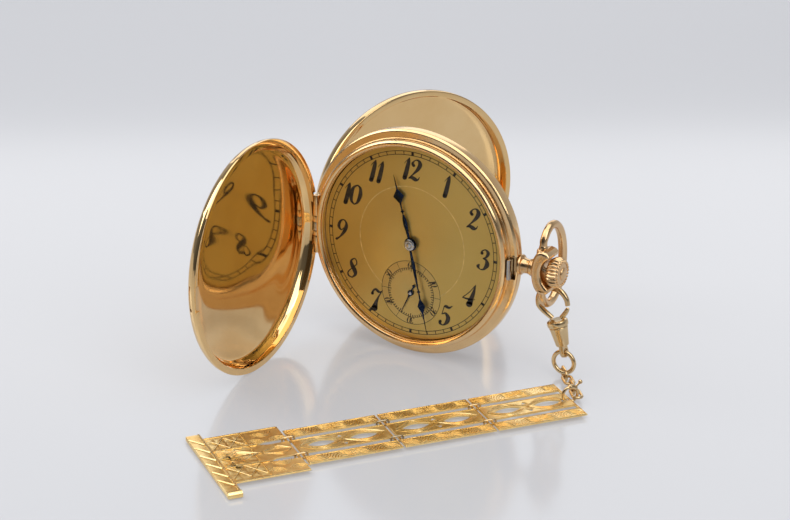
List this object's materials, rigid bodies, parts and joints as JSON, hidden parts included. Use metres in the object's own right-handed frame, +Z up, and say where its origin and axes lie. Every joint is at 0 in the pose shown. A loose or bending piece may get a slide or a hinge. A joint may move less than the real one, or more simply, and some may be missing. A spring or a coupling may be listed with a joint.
{
  "type": "hunter pocket watch",
  "caption": "Round hunter pocket watch standing open on its covers, with crown, bow, a spring clip and an openwork panel fob lying in front.",
  "frame": {"origin": "middle of the whole object's footprint, on the table", "axes": "+Z up towards 12 o'clock, +X towards 3 o'clock and the crown, +Y backwards from the dial"},
  "size_m": [0.078, 0.1282, 0.0518],
  "materials": {
    "case_gold": "mirror-polished rose-yellow gold",
    "red_gold": "polished red gold",
    "fob_gold": "polished and engraved yellow gold",
    "glass": "clear flat crystal",
    "gilt_dial": "matte gilt with printed numerals",
    "blued_steel": "blued and polished",
    "steel": "polished",
    "gilt_brass": "gilt, matte",
    "nickel": "striped nickel finish"
  },
  "bodies": {
    "case": {"case_band": "case_gold", "pendant": "red_gold", "bezel": "case_gold", "crystal": "glass", "front_hinge_pin": "steel", "rear_hinge_pin": "steel", "front_hinge_collar": "steel", "lift_spring": "steel", "dial": "gilt_dial", "main_plate": "gilt_brass", "barrel_bridge": "nickel", "train_bridge": "nickel", "balance_cock": "nickel", "pallet_bridge": "nickel"},
    "front_cover": {"front_cover": "case_gold"},
    "rear_cover": {"rear_cover": "case_gold"},
    "inner_cover": {"cuvette": "case_gold"},
    "lock_spring": {"lock_spring": "steel"},
    "stem": {"winding_stem": "steel"},
    "crown": {"crown": "red_gold"},
    "crown_wheel": {"crown_wheel": "steel"},
    "ratchet": {"ratchet_wheel": "steel", "barrel_arbor": "steel"},
    "click": {"click": "steel"},
    "fourth": {"fourth_wheel": "gilt_brass", "seconds_hand": "blued_steel"},
    "third": {"third_wheel": "gilt_brass"},
    "centre": {"centre_wheel": "gilt_brass", "cannon_pinion": "steel", "minute_hand": "blued_steel"},
    "hour": {"hour_wheel": "gilt_brass", "hour_hand": "blued_steel"},
    "minute_wheel": {"minute_wheel": "gilt_brass"},
    "escape": {"escape_wheel": "steel"},
    "barrel": {"barrel": "gilt_brass", "mainspring": "steel"},
    "fork": {"pallet_fork": "steel"},
    "balance": {"balance_wheel": "gilt_brass", "hairspring": "blued_steel"},
    "bow": {"bow": "red_gold"},
    "clip": {"clip_hook": "fob_gold"},
    "clip_gate": {"clip_gate": "fob_gold"},
    "clip_barrel": {"clip_barrel": "fob_gold"},
    "clip_ring": {"clip_ring": "fob_gold"},
    "link_1": {"link_1": "fob_gold"},
    "link_2": {"link_2": "fob_gold"},
    "link_3": {"link_3": "fob_gold"},
    "link_4": {"link_4": "fob_gold"},
    "spring_ring": {"spring_ring": "fob_gold"},
    "panel_4": {"fob_panel_4": "fob_gold", "join_ring_1": "fob_gold", "join_ring_2": "fob_gold"},
    "panel_3": {"fob_panel_3": "fob_gold", "join_ring_3": "fob_gold", "join_ring_4": "fob_gold"},
    "panel_2": {"fob_panel_2": "fob_gold", "join_ring_5": "fob_gold", "join_ring_6": "fob_gold"},
    "panel_1": {"fob_panel_1": "fob_gold", "end_bar": "fob_gold"}
  },
  "joints": [
    {"name": "front_cover_hinge", "type": "hinge", "parent": "case", "child": "front_cover", "pos_m": [-0.03476, 0.01604, 0.02592], "axis": [0, 0, -1], "range_deg": [-87, 6]},
    {"name": "rear_cover_hinge", "type": "hinge", "parent": "case", "child": "rear_cover", "pos_m": [-0.03476, 0.01884, 0.02592], "axis": [0, 0, 1], "range_deg": [-61, 25]},
    {"name": "inner_cover_hinge", "type": "hinge", "parent": "case", "child": "inner_cover", "pos_m": [-0.03476, 0.01884, 0.02592], "axis": [0, 0, 1], "range_deg": [0, 48]},
    {"name": "lock_spring_press", "type": "slide", "parent": "case", "child": "lock_spring", "axis": [1, 0, 0], "range_m": [0, 0.0004], "stiffness_N_per_m": 3000},
    {"name": "winding_turn", "type": "hinge", "parent": "case", "child": "stem", "pos_m": [-0.00996, 0.01743, 0.02592], "axis": [1, 0, 0], "continuous": true},
    {"name": "crown_pull", "type": "slide", "parent": "stem", "child": "crown", "axis": [1, 0, 0], "range_m": [-0.0003, 0.0008]},
    {"name": "crown_wheel_turn", "type": "hinge", "parent": "case", "child": "crown_wheel", "pos_m": [0.00242, 0.01573, 0.02952], "axis": [0, 1, 0], "continuous": true},
    {"name": "ratchet_turn", "type": "hinge", "parent": "case", "child": "ratchet", "pos_m": [-0.00471, 0.01573, 0.03501], "axis": [0, 1, 0], "continuous": true},
    {"name": "click_turn", "type": "hinge", "parent": "case", "child": "click", "pos_m": [-0.00593, 0.01573, 0.04191], "axis": [0, 1, 0], "range_deg": [0, 12], "stiffness_Nm_per_rad": 0.0001},
    {"name": "seconds_turn", "type": "hinge", "parent": "case", "child": "fourth", "pos_m": [-0.00996, 0.01573, 0.01427], "axis": [0, 1, 0], "continuous": true},
    {"name": "third_turn", "type": "hinge", "parent": "case", "child": "third", "pos_m": [-0.0064, 0.01573, 0.01966], "axis": [0, 1, 0], "continuous": true},
    {"name": "minute_turn", "type": "hinge", "parent": "case", "child": "centre", "pos_m": [-0.00996, 0.01573, 0.02592], "axis": [0, 1, 0], "continuous": true},
    {"name": "hour_turn", "type": "hinge", "parent": "case", "child": "hour", "pos_m": [-0.00996, 0.01573, 0.02592], "axis": [0, 1, 0], "continuous": true},
    {"name": "minute_wheel_turn", "type": "hinge", "parent": "case", "child": "minute_wheel", "pos_m": [-0.01343, 0.01573, 0.02792], "axis": [0, 1, 0], "continuous": true},
    {"name": "escape_turn", "type": "hinge", "parent": "case", "child": "escape", "pos_m": [-0.01517, 0.01573, 0.01287], "axis": [0, 1, 0], "continuous": true},
    {"name": "barrel_turn", "type": "hinge", "parent": "case", "child": "barrel", "pos_m": [-0.00471, 0.01573, 0.03501], "axis": [0, 1, 0], "continuous": true},
    {"name": "fork_swing", "type": "hinge", "parent": "case", "child": "fork", "pos_m": [-0.01869, 0.01573, 0.01583], "axis": [0, 1, 0], "range_deg": [-5, 5]},
    {"name": "balance_swing", "type": "hinge", "parent": "case", "child": "balance", "pos_m": [-0.02222, 0.01573, 0.01879], "axis": [0, 1, 0], "range_deg": [-135, 135], "stiffness_Nm_per_rad": 0.0000006},
    {"name": "bow_hinge", "type": "hinge", "parent": "case", "child": "bow", "pos_m": [0.02144, 0.01743, 0.02592], "axis": [0, 0, 1], "range_deg": [-8, 15]},
    {"name": "clip_swing", "type": "hinge", "parent": "bow", "child": "clip", "pos_m": [0.02214, 0.02133, 0.01762], "axis": [0, 1, 0], "range_deg": [-5, 5]},
    {"name": "clip_gate_press", "type": "hinge", "parent": "clip", "child": "clip_gate", "pos_m": [0.02443, 0.02133, 0.01453], "axis": [0, -1, 0], "range_deg": [0, 16], "stiffness_Nm_per_rad": 0.02},
    {"name": "clip_swivel", "type": "hinge", "parent": "clip", "child": "clip_barrel", "pos_m": [0.02335, 0.02133, 0.01339], "axis": [-0.2756, 0, 0.9613], "range_deg": [-5, 8]},
    {"name": "clip_ring_swing", "type": "hinge", "parent": "clip_barrel", "child": "clip_ring", "pos_m": [0.02545, 0.02133, 0.00609], "axis": [1, 0, 0], "range_deg": [-4, 4]},
    {"name": "link_1_swing", "type": "hinge", "parent": "clip_ring", "child": "link_1", "pos_m": [0.02545, 0.02133, 0.00137], "axis": [0.7656, 0.6433, 0], "range_deg": [-3, 3]},
    {"name": "link_2_swing", "type": "hinge", "parent": "link_1", "child": "link_2", "pos_m": [0.02743, 0.01898, 0.00137], "axis": [0, 0, 1], "range_deg": [-3, 3]},
    {"name": "link_3_swing", "type": "hinge", "parent": "link_2", "child": "link_3", "pos_m": [0.02968, 0.0163, 0.00137], "axis": [0.7656, 0.6433, 0], "range_deg": [-3, 3]},
    {"name": "link_4_swing", "type": "hinge", "parent": "link_3", "child": "link_4", "pos_m": [0.03193, 0.01362, 0.00137], "axis": [0, 0, 1], "range_deg": [-3, 3]},
    {"name": "spring_ring_swing", "type": "hinge", "parent": "link_4", "child": "spring_ring", "pos_m": [0.03358, 0.01165, 0.00087], "axis": [0, 0, 1], "range_deg": [-4, 4]},
    {"name": "panel_4_hinge", "type": "hinge", "parent": "spring_ring", "child": "panel_4", "pos_m": [0.03274, 0.01053, 0.00087], "axis": [0.7986, -0.6018, 0], "range_deg": [-6, 1.5]},
    {"name": "panel_3_hinge", "type": "hinge", "parent": "panel_4", "child": "panel_3", "pos_m": [0.02016, -0.00616, 0.00087], "axis": [0.7986, -0.6018, 0], "range_deg": [-10, 10]},
    {"name": "panel_2_hinge", "type": "hinge", "parent": "panel_3", "child": "panel_2", "pos_m": [0.00758, -0.02285, 0.00087], "axis": [0.7986, -0.6018, 0], "range_deg": [-10, 10]},
    {"name": "panel_1_hinge", "type": "hinge", "parent": "panel_2", "child": "panel_1", "pos_m": [-0.005, -0.03954, 0.00087], "axis": [0.7986, -0.6018, 0], "range_deg": [-10, 10]}
  ],
  "couplings": [
    {"joint": "crown_wheel_turn", "follows": "winding_turn", "ratio": 0.5},
    {"joint": "ratchet_turn", "follows": "winding_turn", "ratio": -0.33333},
    {"joint": "third_turn", "follows": "seconds_turn", "ratio": -0.13333},
    {"joint": "minute_turn", "follows": "seconds_turn", "ratio": 0.016667},
    {"joint": "hour_turn", "follows": "seconds_turn", "ratio": 0.0013889},
    {"joint": "minute_wheel_turn", "follows": "seconds_turn", "ratio": -0.0055556},
    {"joint": "escape_turn", "follows": "seconds_turn", "ratio": -10},
    {"joint": "barrel_turn", "follows": "seconds_turn", "ratio": -0.0027778}
  ]
}
